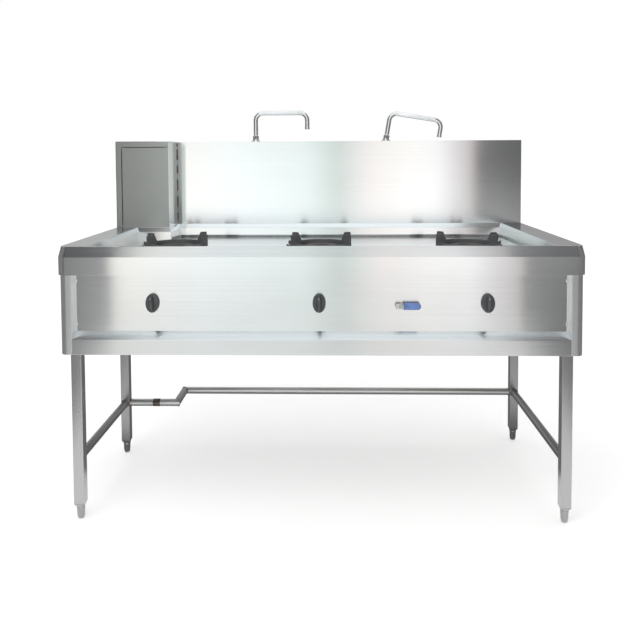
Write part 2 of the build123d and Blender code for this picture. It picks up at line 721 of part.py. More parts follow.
plate_back = bonnet_front - knob_gap
plate_front = plate_back - lever_thickness
tip = valve_x + lever_length - lever_width / 2
grip_back = plate_back + (lever_grip_thickness - lever_thickness) / 2 - 1
lever = block(valve_x - lever_tail, tip, plate_front, plate_back,
              valve_z - lever_width / 2 + 2, valve_z + lever_width / 2 - 2)
lever = fillet(lever.edges().filter_by(Axis.Y).sort_by(Axis.X)[:2], 4)
grip = block(valve_x + lever_grip_start, tip, grip_back - lever_grip_thickness, grip_back,
             valve_z - lever_width / 2, valve_z + lever_width / 2)
grip += rod((tip, grip_back - lever_grip_thickness, valve_z), (tip, grip_back, valve_z), lever_width)
lever += grip
lever += rod((valve_x, bonnet_front + stem_engagement - 1, valve_z), (valve_x, plate_back, valve_z),
             stem_diameter)
nut_plane = Plane(origin=(valve_x, plate_front, valve_z), z_dir=(0, -1, 0))
nut = extrude(nut_plane * RegularPolygon(lever_nut_flats / 2, 6, major_radius=False), amount=lever_nut_height)
save("valve_lever", lever, nut)

# ---- water pipes: supply from its inlet at the rear, riser to the two spouts
water_collar_top = valve_z - inlet_drop
supply = bent_pipe([(valve_x + half_valve, valve_body_y, valve_z), (water_inlet_x, valve_body_y, valve_z),
                    (water_inlet_x, inlet_y, valve_z), (water_inlet_x, inlet_y, water_collar_top)],
                   water_bend_radius, water_pipe_diameter, water_pipe_wall)
supply += inlet(water_inlet_x, water_collar_top, water_pipe_diameter - 2 * water_pipe_wall)
riser = bent_pipe([(valve_x - half_valve, valve_body_y, valve_z), (water_riser_x, valve_body_y, valve_z),
                   (water_riser_x, spout_base_y, valve_z), (water_riser_x, spout_base_y, water_header_z)],
                  water_bend_radius, water_pipe_diameter)
riser += rod((left_spout_x, spout_base_y, water_header_z), (right_spout_x, spout_base_y, water_header_z),
             water_pipe_diameter)
tail_end = cap_bottom + sheet - spout_tail_length
for x, _ in spout_xs.values():
    riser += rod((x, spout_base_y, water_header_z - water_pipe_diameter / 2), (x, spout_base_y, tail_end),
                 water_pipe_diameter)
save("water_pipes", supply, riser)


# ---- swing spouts, built about the origin of their base and then put on the splashback
def spout_frame(x, lean):
    """The place and lean of one spout's socket."""
    return Pos(x, spout_base_y, splash_top + spout_flange_height) * Rot(0, lean, 0)


bases = []
low_align = (Align.CENTER, Align.CENTER, Align.MIN)
for name, (x, lean) in spout_xs.items():
    place = Pos(x, spout_base_y, splash_top)
    base = place * Cylinder(spout_flange_diameter / 2, spout_flange_height, align=low_align)
    base = chamfer(base.edges().group_by(Axis.Z)[-1], 1.5)
    base += place * Pos(0, 0, -spout_tail_length) * Cylinder(spout_tail_diameter / 2, spout_tail_length,
                                                             align=low_align)
    ball = Sphere(spout_ball_diameter / 2) - Pos(0, 0, -spout_ball_diameter) * Box(
        2 * spout_ball_diameter, 2 * spout_ball_diameter, 2 * spout_ball_diameter)
    base += place * Pos(0, 0, spout_flange_height) * ball
    collar_height = spout_collar_top - spout_flange_height
    base += spout_frame(x, lean) * Cylinder(spout_collar_diameter / 2, collar_height, align=low_align)
    base -= spout_frame(x, lean) * Pos(0, 0, collar_height - spout_socket_depth) * Cylinder(
        spout_pin_diameter / 2 + spout_pin_clearance, spout_socket_depth + 1, align=low_align)
    bases.append(base)
    arm_z = spout_height - spout_flange_height
    seat_z = collar_height + spout_seat_gap
    pipe = bent_pipe([(0, 0, seat_z), (0, 0, arm_z), (spout_reach, 0, arm_z),
                      (spout_reach, 0, arm_z - spout_drop)], spout_bend_radius, spout_diameter, spout_wall)
    pin = Pos(0, 0, collar_height - spout_socket_depth + spout_seat_gap) * Cylinder(
        spout_pin_diameter / 2, spout_socket_depth + 2 * sheet, align=low_align)
    shoulder = Pos(0, 0, seat_z) * Cylinder(spout_diameter / 2, 2 * sheet, align=low_align)
    save(f"spout_{name}", spout_frame(x, lean) * (pipe + shoulder + pin))
save("spout_bases", *bases)

print(len(written), "nodes;", "spout swing axis leans", right_spout_lean, "degrees on the right;",
      "axis direction", round(sin(radians(right_spout_lean)), 5), 0.0,
      round(cos(radians(right_spout_lean)), 5))
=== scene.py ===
import json
import math
import bmesh
import bpy
from mathutils import Matrix, Vector


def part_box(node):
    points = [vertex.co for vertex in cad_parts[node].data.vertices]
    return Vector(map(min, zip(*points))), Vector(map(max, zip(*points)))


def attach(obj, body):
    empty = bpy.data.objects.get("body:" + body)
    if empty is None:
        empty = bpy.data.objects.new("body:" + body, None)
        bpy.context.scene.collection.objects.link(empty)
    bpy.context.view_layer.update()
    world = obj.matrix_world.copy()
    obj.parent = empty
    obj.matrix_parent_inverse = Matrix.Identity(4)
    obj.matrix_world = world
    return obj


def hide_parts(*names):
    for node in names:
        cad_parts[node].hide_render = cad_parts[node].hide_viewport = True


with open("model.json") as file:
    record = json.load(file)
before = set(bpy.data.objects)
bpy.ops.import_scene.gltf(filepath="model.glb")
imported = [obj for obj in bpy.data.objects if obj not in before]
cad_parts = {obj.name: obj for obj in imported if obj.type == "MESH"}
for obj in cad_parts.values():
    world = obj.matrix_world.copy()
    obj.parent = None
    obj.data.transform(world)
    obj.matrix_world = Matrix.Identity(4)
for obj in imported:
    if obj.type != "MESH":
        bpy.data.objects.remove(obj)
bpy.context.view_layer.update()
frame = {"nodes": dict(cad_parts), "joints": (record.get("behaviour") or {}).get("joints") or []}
nodes = frame["nodes"]
joints = {joint["child"]: joint for joint in frame["joints"]}
sides = ("left", "centre", "right")
corners = ("front_left", "front_right", "rear_left", "rear_right")
print("frame loaded,", len(nodes), "nodes")

cameraSetup = {
    "place": (0.0464, -2.312, 1.0523),
    "yaw": 1.64,              # degrees, to the left
    "pitch": 2.69,            # degrees, downwards
    "roll": -0.31,
    "focal": 699.6,           # pixels of a 640 pixel wide picture
    "centre": (315.07, 189.0),
    "picture": 640,
    "sensor": 36,             # its width, millimetres
}


def addCamera(setup):
    yaw, pitch, roll = (math.radians(setup[k]) for k in ("yaw", "pitch", "roll"))
    forward = Vector((-math.sin(yaw) * math.cos(pitch), math.cos(yaw) * math.cos(pitch), -math.sin(pitch)))
    level = Vector((math.cos(yaw), math.sin(yaw), 0))
    upright = level.cross(forward)
    right = level * math.cos(roll) + upright * math.sin(roll)
    up = upright * math.cos(roll) - level * math.sin(roll)
    bpy.ops.object.camera_add()
    camera = bpy.context.object
    camera.name = "camera"
    half, (px, py) = setup["picture"] / 2, setup["centre"]
    camera.data.sensor_width = setup["sensor"]
    camera.data.lens = setup["focal"] / setup["picture"] * setup["sensor"]
    camera.data.shift_x = (half - px) / setup["picture"]
    camera.data.shift_y = (py - half) / setup["picture"]
    turn = Matrix((right, up, -forward)).transposed().to_4x4()
    turn.translation = Vector(setup["place"])
    camera.matrix_world = turn
    bpy.context.scene.camera = camera


addCamera(cameraSetup)


class Wire:                   # a socket that understands + - * and a straight rise between two values
    def __init__(self, finish, socket):
        self.finish, self.socket = finish, socket

    def math(self, operation, *values):
        return self.finish.node("Math", {"operation": operation}, dict(enumerate(values)))

    def __add__(self, other):
        return self.math("ADD", self, other)

    def __radd__(self, other):
        return self if other == 0 else self.math("ADD", other, self)

    def __sub__(self, other):
        return self.math("SUBTRACT", self, other)

    def __rsub__(self, other):
        return self.math("SUBTRACT", other, self)

    def __mul__(self, other):
        return self.math("MULTIPLY", self, other)

    def __rmul__(self, other):
        return self.math("MULTIPLY", other, self)

    def between(self, low, high):
        return self.finish.node("MapRange", {"clamp": True},
                                {"Value": self, "From Min": low, "From Max": high})


class Finish:                 # one material or world, and the nodes that make it
    def __init__(self, name, tree=None):
        if tree is None:
            self.material = bpy.data.materials.new(name)
            self.material.use_nodes = True
            tree = self.material.node_tree
        self.tree = tree
        self.tree.nodes.clear()

    def node(self, kind, settings=None, sockets=None, out=0):
        made = self.tree.nodes.new("ShaderNode" + kind)
        for key, value in (settings or {}).items():
            if key == "stops":
                ramp = made.color_ramp.elements
                ramp.remove(ramp[1])
                ramp[0].position, ramp[0].color = value[0][0], (*value[0][1], 1)
                for place, colour in value[1:]:
                    ramp.new(place).color = (*colour, 1)
            else:
                setattr(made, key, value)
        for key, value in (sockets or {}).items():
            if isinstance(value, Wire):
                self.tree.links.new(value.socket, made.inputs[key])
            else:
                made.inputs[key].default_value = value
        return Wire(self, made.outputs[out]) if made.outputs else None

    def mix(self, share, first, second):
        colours = {6: first, 7: second}
        sockets = {k: v if isinstance(v, Wire) else (*v, 1) for k, v in colours.items()}
        return self.node("Mix", {"data_type": "RGBA"}, {0: share, **sockets}, out=2)

    def place(self, scale=(1, 1, 1)):
        return self.node("Mapping", {}, {"Vector": self.node("TexCoord", out=3), "Scale": scale})

    def spot(self):           # how far a point lies across, deep and up
        parts = self.node("SeparateXYZ", {}, {"Vector": self.place()}).socket.node.outputs
        return [Wire(self, parts[axis]) for axis in "XYZ"]

    def noise(self, scale, stretch=(1, 1, 1), detail=3.0, rough=0.5):
        return self.node("TexNoise", {}, {"Vector": self.place(stretch), "Scale": scale,
                                          "Detail": detail, "Roughness": rough})

    def bump(self, height, depth, below=None):
        sockets = {"Height": height, "Distance": depth, "Strength": 1.0}
        if below:
            sockets["Normal"] = below
        return self.node("Bump", {}, sockets)

    def close(self, **sockets):
        shader = self.node("BsdfPrincipled", {}, {k.replace("_", " "): v for k, v in sockets.items()})
        self.node("OutputMaterial", {}, {"Surface": shader})
        return self.material


def shade(colour, amount):    # the same colour, lighter or darker
    return tuple(min(1, c * amount) for c in colour)


def grey(amount):
    return (amount,) * 3


studioLook = {
    "sky": 0.75,              # the sky's strength on the object; what sees it directly sees white
    "floorSize": 60,
    "floorTone": grey(0.9),
    "floorGlow": 0.4,         # added to what sees the floor directly, so that it looks white
    "lamp": {"place": (-0.8, -1.6, 2.6), "aim": (0, 0, 0.6), "size": 1.6, "energy": 16},
}
# a light's stops are colours by distance from the middle, and span is how far they reach on either
# side; rise is three heights, then the strength under the first and over the last, against the middle's
evenLight = {"span": 1, "rise": (0, 1, 9, 1, 1), "strength": 1.0}
leftEnd = {
    "stops": [(-1.62, grey(0.21)), (-1.40, grey(0.36)), (-1.20, grey(0.40))],
    "span": 2.8,
    "rise": (-0.1, 0.6, 2.2, 1, 0.40),
}
rightEnd = {
    "stops": [(1.10, grey(0.58)), (1.28, grey(0.56)), (1.44, grey(0.45))],
    "span": 2.8,
    "rise": (0.46, 0.60, 1.05, 0.42, 0.33),
}
cardLights = {
    "front card": {
        "stops": [
            (-1.26, (0.62, 0.62, 0.60)), (-1.20, (0.93, 0.92, 0.86)), (-1.10, (0.99, 0.98, 0.93)),
            (-0.70, (0.94, 0.98, 0.98)), (-0.15, (0.83, 0.90, 0.88)), (0.07, (0.62, 0.68, 0.65)),
            (0.22, (0.82, 0.82, 0.79)), (0.30, (0.92, 0.87, 0.85)), (0.57, (0.99, 0.97, 0.94)),
            (0.80, (0.98, 0.97, 0.96)), (0.96, (0.74, 0.72, 0.72)), (1.08, (0.60, 0.55, 0.54)),
        ],
        "span": 1.4,
        "rise": (0.36, 0.47, 2.6, 0.68, 0.57),
        "strength": 1.52,
    },
    "left card": {**leftEnd, "strength": 1.0},
    "low left card": {**leftEnd, "strength": 0.75},
    "right card": {**rightEnd, "strength": 1.0},
    "low right card": {**rightEnd, "strength": 0.75},
    "rear card": {
        "stops": [(-2.8, grey(0.50)), (-1.0, grey(0.56)), (0.0, grey(0.52)), (0.9, grey(0.40)),
                  (2.8, grey(0.36))],
        "span": 2.8,
        "rise": (-1, 0.5, 3.4, 1, 1.25),
        "strength": 1.0,
    },
    "overhead": {**evenLight, "stops": [(0, (0.90, 0.97, 1.0))], "strength": 1.25},
}
cards = {                     # what the steel mirrors: centre, size, facing, and a light or a plain tone
    "front_card": ((-0.075, -2.34, 1.3), (2.65, 2.8), (0, 1, 0), "front card"),
    "left_card": ((-2.19, -2.33, 0.65), (1.9, 1.5), (0, 1, 0), "left card"),
    "high_left_card": ((-2.30, -2.33, 2.05), (1.9, 1.3), (0, 1, 0), "left card"),
    "low_left_card": ((-2.16, -2.0, 0.004), (1.9, 0.8), (0, 0, 1), "low left card"),
    "right_card": ((2.05, -2.33, 0.65), (1.9, 1.5), (0, 1, 0), "right card"),
    "high_right_card": ((2.095, -2.33, 2.05), (1.9, 1.3), (0, 1, 0), "right card"),
    "low_right_card": ((2.02, -2.0, 0.004), (1.9, 0.8), (0, 0, 1), "low right card"),
    "rear_card": ((0, 2.6, 1.4), (6.2, 2.8), (0, -1, 0), "rear card"),
    "overhead_card": ((-0.075, -1.0, 2.72), (2.6, 3.2), (0, 0, -1), "overhead"),
    "floor_front": ((-0.06, -2.0, 0.003), (2.34, 0.9), (0, 0, 1), (0.92, 0.94, 0.92)),
    "overhead_left": ((-2.18, -1.0, 2.7), (1.9, 3.2), (0, 0, -1), grey(0.19)),
    "overhead_right": ((2.03, -1.0, 2.7), (1.9, 3.2), (0, 0, -1), grey(0.23)),
    "side_left": ((-3.15, 0.2, 1.4), (5.6, 2.8), (1, 0, 0), grey(0.25)),
    "side_right": ((3.15, 0.2, 1.4), (5.6, 2.8), (-1, 0, 0), grey(0.22)),
    "floor_rear": ((0, 1.3, 0.004), (2.0, 2.7), (0, 0, 1), grey(0.22)),
    "floor_left": ((-2.05, 0.55, 0.004), (2.1, 4.2), (0, 0, 1), grey(0.26)),
    "floor_right": ((2.05, 0.55, 0.004), (2.1, 4.2), (0, 0, 1), grey(0.24)),
}


def shownWhite(f):            # 1 for what the camera or a reflection sees directly, 0 for other light
    path = f.node("LightPath").socket.node.outputs
    seen = sum(Wire(f, path[kind]) for kind in ("Is Camera Ray", "Is Glossy Ray", "Is Transmission Ray"))
    return seen.math("MINIMUM", seen, 1.0)


def lightSky(look):
    sky = bpy.data.worlds.new("studio")
    bpy.context.scene.world = sky
    sky.use_nodes = True
    f = Finish("studio", sky.node_tree)
    strength = look["sky"] + shownWhite(f) * (1 - look["sky"])
    f.node("OutputWorld", {}, {"Surface": f.node("Background", {}, {
        "Color": (1, 1, 1, 1), "Strength": strength})})


def layFloor(look):
    bpy.ops.mesh.primitive_plane_add(size=look["floorSize"], location=(0, 0, 0))
    floor = bpy.context.object
    floor.name = "floor"
    f = Finish("floor")
    paint = f.node("BsdfDiffuse", {}, {"Color": (*look["floorTone"], 1)})
    glow = f.node("Emission", {}, {"Color": (1, 1, 1, 1), "Strength": shownWhite(f) * look["floorGlow"]})
    f.node("OutputMaterial", {}, {"Surface": f.node("AddShader", {}, {0: paint, 1: glow})})
    floor.data.materials.append(f.material)


def glowing(name, light):
    # a card's light: its colour changes across it, and its strength from the floor up
    f = Finish(name)
    across, _, upward = f.spot()
    span = light["span"]
    stops = [((x + span) / (2 * span), colour) for x, colour in light["stops"]]
    colour = f.node("ValToRGB", {"stops": stops}, {"Fac": across.between(-span, span)})
    low, middle, high, under, over = light["rise"]
    level = upward.between(low, middle) * (1 - under) + under
    level = level * (1 - upward.between(middle, high) * (1 - over))
    f.node("OutputMaterial", {}, {"Surface": f.node("Emission", {}, {
        "Color": colour, "Strength": level * light["strength"]})})
    return f.material


def addCard(name, centre, size, facing, material):
    bpy.ops.mesh.primitive_plane_add(size=1, location=centre)
    card = bpy.context.object
    card.name = name
    card.rotation_euler = Vector(facing).to_track_quat("Z", "Y").to_euler()
    card.scale = (*size, 1)
    bpy.ops.object.transform_apply(location=True, rotation=True, scale=True)
    card.data.materials.append(material)
    card.visible_camera = card.visible_diffuse = card.visible_shadow = False


def standCards(lights, places):
    glows = {name: glowing(name, light) for name, light in lights.items()}
    for name, (centre, size, facing, light) in places.items():
        if light in glows:
            addCard(name, centre, size, facing, glows[light])
        else:
            addCard(name, centre, size, facing, glowing(name, {**evenLight, "stops": [(0, light)]}))


def hangLamp(setup):
    bpy.ops.object.light_add(type="AREA", location=setup["place"])
    lamp = bpy.context.object
    lamp.data.size = setup["size"]
    lamp.data.energy = setup["energy"]
    lamp.rotation_euler = (Vector(setup["aim"]) - lamp.location).to_track_quat("-Z", "Y").to_euler()
    lamp.visible_glossy = False


bpy.context.scene.view_settings.view_transform = "Standard"
lightSky(studioLook)
layFloor(studioLook)
standCards(cardLights, cards)
hangLamp(studioLook["lamp"])
print("studio lit")

# scratches are stretched along the grain and close together across it
grainAxes = {"x": (1.2, 420, 420), "y": (420, 1.2, 420), "z": (420, 420, 1.2)}
scratchDepth = 0.00001
heatTints = {
    "straw": (0.66, 0.60, 0.50),
    "blue": (0.42, 0.44, 0.50),
    "reach": (0.08, 0.13),    # from a burner's middle: blue out to the first, straw out to the second
    "ragged": 0.03,           # how far stains push that edge about
}


def brushedSteel(name, colour, grain, rough=0.15, wave=0.003, spread=0.08, combed=1.0, lean=0.0):
    # ground sheet: fine scratches along the grain, a slow wave in the sheet, wiped smears
    f = Finish(name)
    scratches = f.noise(1.0, grainAxes[grain], detail=2.0)
    smears = f.noise(5.0, (1, 1, 2.2), detail=3.0)
    tone = f.mix(scratches * 0.5 + smears * 0.4, shade(colour, 1 - spread), shade(colour, 1 + spread))
    height = f.noise(1.6, detail=0.0) * wave
    if lean:                  # a sheet that leans back a touch
        height = height - f.spot()[2] * lean
    normal = f.bump(scratches, scratchDepth, f.bump(height, 1.0))
    worn = rough - 0.03 + scratches * 0.04 + smears * 0.04
    return f.close(Base_Color=tone, Metallic=1.0, Roughness=worn, Normal=normal, Anisotropic=combed,
                   Anisotropic_Rotation=0.25)


def castIron(name, colour, rough):
    # sand cast: a pebbled skin, a little brown where the flame reaches
    f = Finish(name)
    pebble = f.noise(420, detail=4.0, rough=0.6)
    blotch = f.noise(24, detail=3.0)
    burnt = tuple(c * m for c, m in zip(colour, (1.4, 1.27, 1.2)))
    return f.close(Base_Color=f.mix(blotch.between(0.42, 0.75), colour, burnt), Metallic=0.3,
                   Roughness=rough + pebble * 0.15 - blotch * 0.1, Normal=f.bump(pebble, 0.0004))


def moulded(name, colour, rough, fleck=0.2, skin=0.00005):
    # moulded or dipped plastic: a fine orange peel, faint cloudiness, rubbed spots
    f = Finish(name)
    cloud = f.noise(60, detail=3.0)
    tone = f.mix(cloud.between(0.35, 0.7), shade(colour, 1 - fleck), shade(colour, 1 + fleck))
    return f.close(Base_Color=tone, Roughness=rough + cloud * 0.18 - 0.09,
                   Normal=f.bump(f.noise(900, detail=2.0), skin))


def plainMetal(name, colour, rough, grainSize=300, depth=0.00002):
    # turned, drawn or plated metal: fine marks and a slow change of tone
    f = Finish(name)
    marks = f.noise(grainSize, detail=3.0)
    slow = f.noise(18, detail=2.0)
    tone = f.mix(slow.between(0.3, 0.7), shade(colour, 0.86), shade(colour, 1.1))
    return f.close(Base_Color=tone, Metallic=1.0, Roughness=rough + marks * 0.12 + slow * 0.08 - 0.1,
                   Normal=f.bump(marks, depth))


def basinSteel(name, colour, burners, tints):
    # the basin floor: ground steel gone faintly straw and blue round each burner, with dried water marks
    f = Finish(name)
    scratches = f.noise(1.0, grainAxes["x"], detail=2.0)
    stains = f.noise(9, detail=4.0)
    coords = f.node("TexCoord", out=3)
    heat = 0
    for centre in burners:
        away = f.node("VectorMath", {"operation": "DISTANCE"}, {0: coords, 1: centre}, out=1)
        heat = heat + (1 - (away + stains * tints["ragged"]).between(*tints["reach"]))
    straw = f.mix(heat.between(0.1, 0.6), colour, tints["straw"])
    tone = f.mix(heat.between(0.55, 1.0), straw, tints["blue"])
    tone = f.mix(stains.between(0.55, 0.8) * 0.3, tone, shade(colour, 0.8))
    return f.close(Base_Color=tone, Metallic=1.0, Roughness=0.11 + stains * 0.12 + heat * 0.05,
                   Normal=f.bump(scratches, scratchDepth), Anisotropic=0.5, Anisotropic_Rotation=0.25)


def weldMetal(name, colour, rough=0.35):
    # a bead left as welded: dull, tinted by its heat
    f = Finish(name)
    tint = f.noise(70, detail=2.0)
    burnt = tuple(c * m for c, m in zip(colour, (0.75, 0.6, 0.5)))
    return f.close(Base_Color=f.mix(tint.between(0.35, 0.65), colour, burnt), Metallic=1.0,
                   Roughness=rough + tint * 0.2, Normal=f.bump(f.noise(500), 0.0001))


sheetTone = (0.74, 0.75, 0.755)
tubeTone = (0.42, 0.425, 0.42)
burnerPlaces = []             # a mixing tube reaches forward, so a middle is measured from the rear edge
for side in sides:
    low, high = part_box("burner_" + side)
    burnerPlaces.append(((low.x + high.x) / 2, high.y - (high.x - low.x) / 2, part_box("deck")[1].z))
# several steel finishes below are one steel whose shade() factor is painted light or painted shade,
# lighter or darker for how brightly that part mirrors the studio
finishes = {
    "sheet": brushedSteel("sheet steel", sheetTone, "x"),
    "sheetDull": brushedSteel("dull sheet steel", (0.50, 0.515, 0.50), "z", 0.4, 0.002, combed=0.5),
    # painted shade: the splashback's return and end walls darker than the sheet
    "sheetDeep": brushedSteel("side sheet steel", shade(sheetTone, 0.84), "y", 0.14, combed=0.6),
    "sheetSide": brushedSteel("body side steel", sheetTone, "y", 0.34, combed=0.3),
    # painted shade: the side rims darker than the sheet
    "rimDeep": brushedSteel("side rim steel", shade(sheetTone, 0.78), "y", 0.2, combed=0.3),
    # painted light: the splashback lighter than the sheet
    "sheetSplash": brushedSteel("splashback steel", shade(sheetTone, 1.06), "x", 0.13, combed=0.75,
                                lean=0.03),
    # painted shade: the bottom rail darker than the sheet
    "sheetRail": brushedSteel("rail steel", shade(sheetTone, 0.93), "x", 0.18, combed=0.9),
    # painted light: the basin floor's steel is lighter than the sheet; its straw and blue heat tint and
    # water marks are the steel's own
    "deck": basinSteel("basin steel", shade(sheetTone, 1.2), burnerPlaces, heatTints),
    # the tube finishes are one tube steel; the front legs' tone is the one the others are lightened or
    # darkened from
    "tube": brushedSteel("tube steel", shade(tubeTone, 1.12), "z", 0.24, 0.001, combed=0.6),
    # painted light: the rear stretchers lighter than the legs
    "tubeAcross": brushedSteel("tube steel across", shade(tubeTone, 1.5), "x", 0.34, 0.001, combed=0.4),
    # painted shade: the side stretchers and the rear link darker than the legs
    "tubeDeep": brushedSteel("tube steel deep", shade(tubeTone, 0.7), "y", 0.28, 0.001, combed=0.4),
    # painted shade: the rear legs darker than the front legs
    "tubeRear": brushedSteel("rear tube steel", shade(tubeTone, 0.9), "z", 0.28, 0.001, combed=0.6),
    "mill": plainMetal("mill steel", (0.42, 0.425, 0.43), 0.42),
    "foot": plainMetal("turned foot", (0.40, 0.405, 0.41), 0.3, 200),
    "spout": plainMetal("polished tube", (0.82, 0.82, 0.82), 0.2, 120, scratchDepth),
    "screw": plainMetal("screw", (0.75, 0.75, 0.74), 0.2),
    "castIron": castIron("cast iron", (0.090, 0.093, 0.098), 0.6),
    "burnerIron": castIron("burner iron", (0.075, 0.072, 0.070), 0.55),
    "bowl": plainMetal("bowl enamel", (0.10, 0.10, 0.105), 0.45),
    "brass": plainMetal("brass", (0.72, 0.53, 0.24), 0.3),
    "copper": plainMetal("drawn copper", (0.70, 0.38, 0.25), 0.28),
    "gasPaint": moulded("pipe paint", (0.72, 0.55, 0.06), 0.35),
    "knob": moulded("knob plastic", (0.068, 0.074, 0.078), 0.42),
    # painted highlight: a grey pointer dot standing for the light that glints on the top of each knob's
    # grip bar
    "mark": moulded("mark paint", (0.34, 0.35, 0.34), 0.5, 0.1),
    "leverPlate": plainMetal("lever plate", (0.52, 0.50, 0.50), 0.35),
    "grip": moulded("grip vinyl", (0.14, 0.24, 0.56), 0.28),
    "plated": plainMetal("plated nut", (0.42, 0.47, 0.43), 0.3),
    "weld": weldMetal("weld bead", (0.30, 0.26, 0.23)),
    "groundWeld": weldMetal("ground weld", (0.62, 0.62, 0.61), 0.2),
    # painted shadow: a dark line along the left splash panel's edges, where its recess throws a shadow gap
    "seam": weldMetal("dark seam", (0.10, 0.10, 0.10), 0.5),
    # painted reflection: a dark band on the rear stretcher where the front-left leg is mirrored
    "sleeve": weldMetal("sleeve steel", (0.19, 0.18, 0.17), 0.45),
}
cadFinishes = {
    "tubeAcross": ("rear_stretcher_long", "rear_stretcher_short"),
    "tubeDeep": ("side_stretcher_left", "side_stretcher_right", "rear_stretcher_link"),
    "deck": ("deck",),
    "sheetSplash": ("splash_main", "splash_cap", "splash_back"),
    "sheetDeep": ("splash_return", "splash_end_left", "splash_end_right"),
    "mill": ("beam_front", "beam_rear", "burner_rails", "manifold_brackets"),
    "brass": ("gas_cocks", "water_valve", "cock_stem_left", "cock_stem_centre", "cock_stem_right"),
    "copper": ("burner_feed_pipes",),
    "gasPaint": ("gas_manifold",),
    "spout": ("water_pipes",),
}
for o in nodes.values():
    o.data.materials.clear()
    o.data.materials.append(finishes["sheet"])
for finish, members in cadFinishes.items():
    for member in members:
        nodes[member].data.materials[0] = finishes[finish]
print("finishes mixed,", len(finishes))

mergeWithin = 0.00001         # points nearer than this are one, metres


def deselect():
    if bpy.context.object and bpy.context.object.mode == "EDIT":
        bpy.ops.object.mode_set(mode="OBJECT")
    bpy.ops.object.select_all(action="DESELECT")


def hold(piece):              # make it the one piece in hand
    deselect()
    piece.select_set(True)
    bpy.context.view_layer.objects.active = piece
    return piece


def openEdit(mode="FACE"):
    bpy.ops.object.mode_set(mode="EDIT")
    bpy.ops.mesh.select_mode(type=mode)
    bpy.ops.mesh.select_all(action="SELECT")


def pick(test, kind="faces"):
    bpy.ops.mesh.select_all(action="DESELECT")
    mesh = bmesh.from_edit_mesh(bpy.context.object.data)
    for element in getattr(mesh, kind):
        element.select = bool(test(element))
    mesh.select_flush_mode()
    bmesh.update_edit_mesh(bpy.context.object.data)


def extrude(*way):            # draw what is picked out, across, deep and up
    bpy.ops.mesh.extrude_region_move(TRANSFORM_OT_translate={"value": way})


def modify(kind, **settings):
    if bpy.context.object.mode == "EDIT":
        bpy.ops.object.mode_set(mode="OBJECT")
    made = bpy.context.object.modifiers.new(kind.lower(), kind)
    for key, value in settings.items():
        setattr(made, key, value)
    bpy.ops.object.modifier_apply(modifier=made.name)


def settle():                 # out of edit mode, with the place of the piece in hand put into its mesh
    deselect()
    piece = hold(bpy.context.view_layer.objects.active)
    bpy.ops.object.transform_apply(location=True, rotation=True, scale=True)
    return piece


def moved(turn):              # carry the piece in hand by a matrix
    piece = settle()
    piece.matrix_world = turn
    return settle()


def about(point, turn):       # a turn about a point
    return Matrix.Translation(point) @ turn @ Matrix.Translation(-Vector(point))


def done(name, body, finish, stands=(), smooth=35, closed=True):
    # the piece in hand is named, given its finish, put on its body and stands for CAD nodes
    piece = settle()
    if closed:
        openEdit("VERT")
        bpy.ops.mesh.remove_doubles(threshold=mergeWithin)
        bpy.ops.mesh.normals_make_consistent(inside=False)
        bpy.ops.object.mode_set(mode="OBJECT")
    piece.name = piece.data.name = name
    piece.data.materials.clear()
    piece.data.materials.append(finishes[finish])
    bpy.ops.object.shade_smooth_by_angle(angle=math.radians(smooth))
    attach(piece, body)
    if stands:
        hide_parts(*stands)
    deselect()
    return piece


def copyOf(piece, turn):      # a copy with its own mesh, carried by a matrix, left in hand
    copy = bpy.data.objects.new(piece.name, piece.data.copy())
    copy.matrix_world = piece.matrix_world.copy()
    bpy.context.scene.collection.objects.link(copy)
    hold(copy)
    return moved(turn)


def join(pieces):
    hold(pieces[0])
    for piece in pieces:
        piece.select_set(True)
    bpy.ops.object.join()
    return bpy.context.object


def middleOf(node):
    low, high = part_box(node)
    return (low + high) / 2


def mergedCopy(node):         # a copy of a CAD node as one welded mesh with flat faces, in edit mode
    deselect()
    piece = bpy.data.objects.new(node, nodes[node].data.copy())
    bpy.context.scene.collection.objects.link(piece)
    hold(piece)
    bpy.ops.mesh.customdata_custom_splitnormals_clear()
    openEdit("EDGE")
    bpy.ops.mesh.remove_doubles(threshold=2 * mergeWithin)
    bpy.ops.mesh.dissolve_limited(angle_limit=math.radians(0.5))
    return piece


def turned(steps, place, around):
    # a lathe job: a disc drawn up through (height, radius) steps from place, closed at both ends
    x, y, z = place
    deselect()
    bpy.ops.mesh.primitive_circle_add(vertices=around, radius=steps[0][1], fill_type="NGON",
                                      location=(x, y, z + steps[0][0]))
    openEdit()
    for (low, before), (high, radius) in zip(steps, steps[1:]):
        extrude(0, 0, high - low)
        size = radius / before
        bpy.ops.transform.resize(value=(size, size, 1), center_override=(x, y, z + high))
    return settle()


def drawnOut(place, size, steps, around=20):
    # a disc or oval facing the cook, drawn out towards them in steps of (how far, across, up)
    deselect()
    bpy.ops.mesh.primitive_circle_add(vertices=around, radius=1, fill_type="NGON", location=place,
                                      rotation=(math.radians(90), 0, 0))
    openEdit()
    bpy.ops.transform.resize(value=(size[0], 1, size[1]), center_override=place)
    for out, across, up in steps:
        extrude(0, -out, 0)
        bpy.ops.transform.resize(value=(across, 1, up), center_override=place)
    return settle()


def shares(length, steps):    # steps for drawnOut, from shares of a length, each drawn in evenly
    return [(length * out, size, size) for out, size in steps]


def melted(voxel, rounds, keep):
    # the soft joined look of a casting or moulding: remeshed, smoothed, thinned
    modify("REMESH", mode="VOXEL", voxel_size=voxel)
    modify("SMOOTH", factor=0.5, iterations=rounds)
    modify("DECIMATE", ratio=keep)


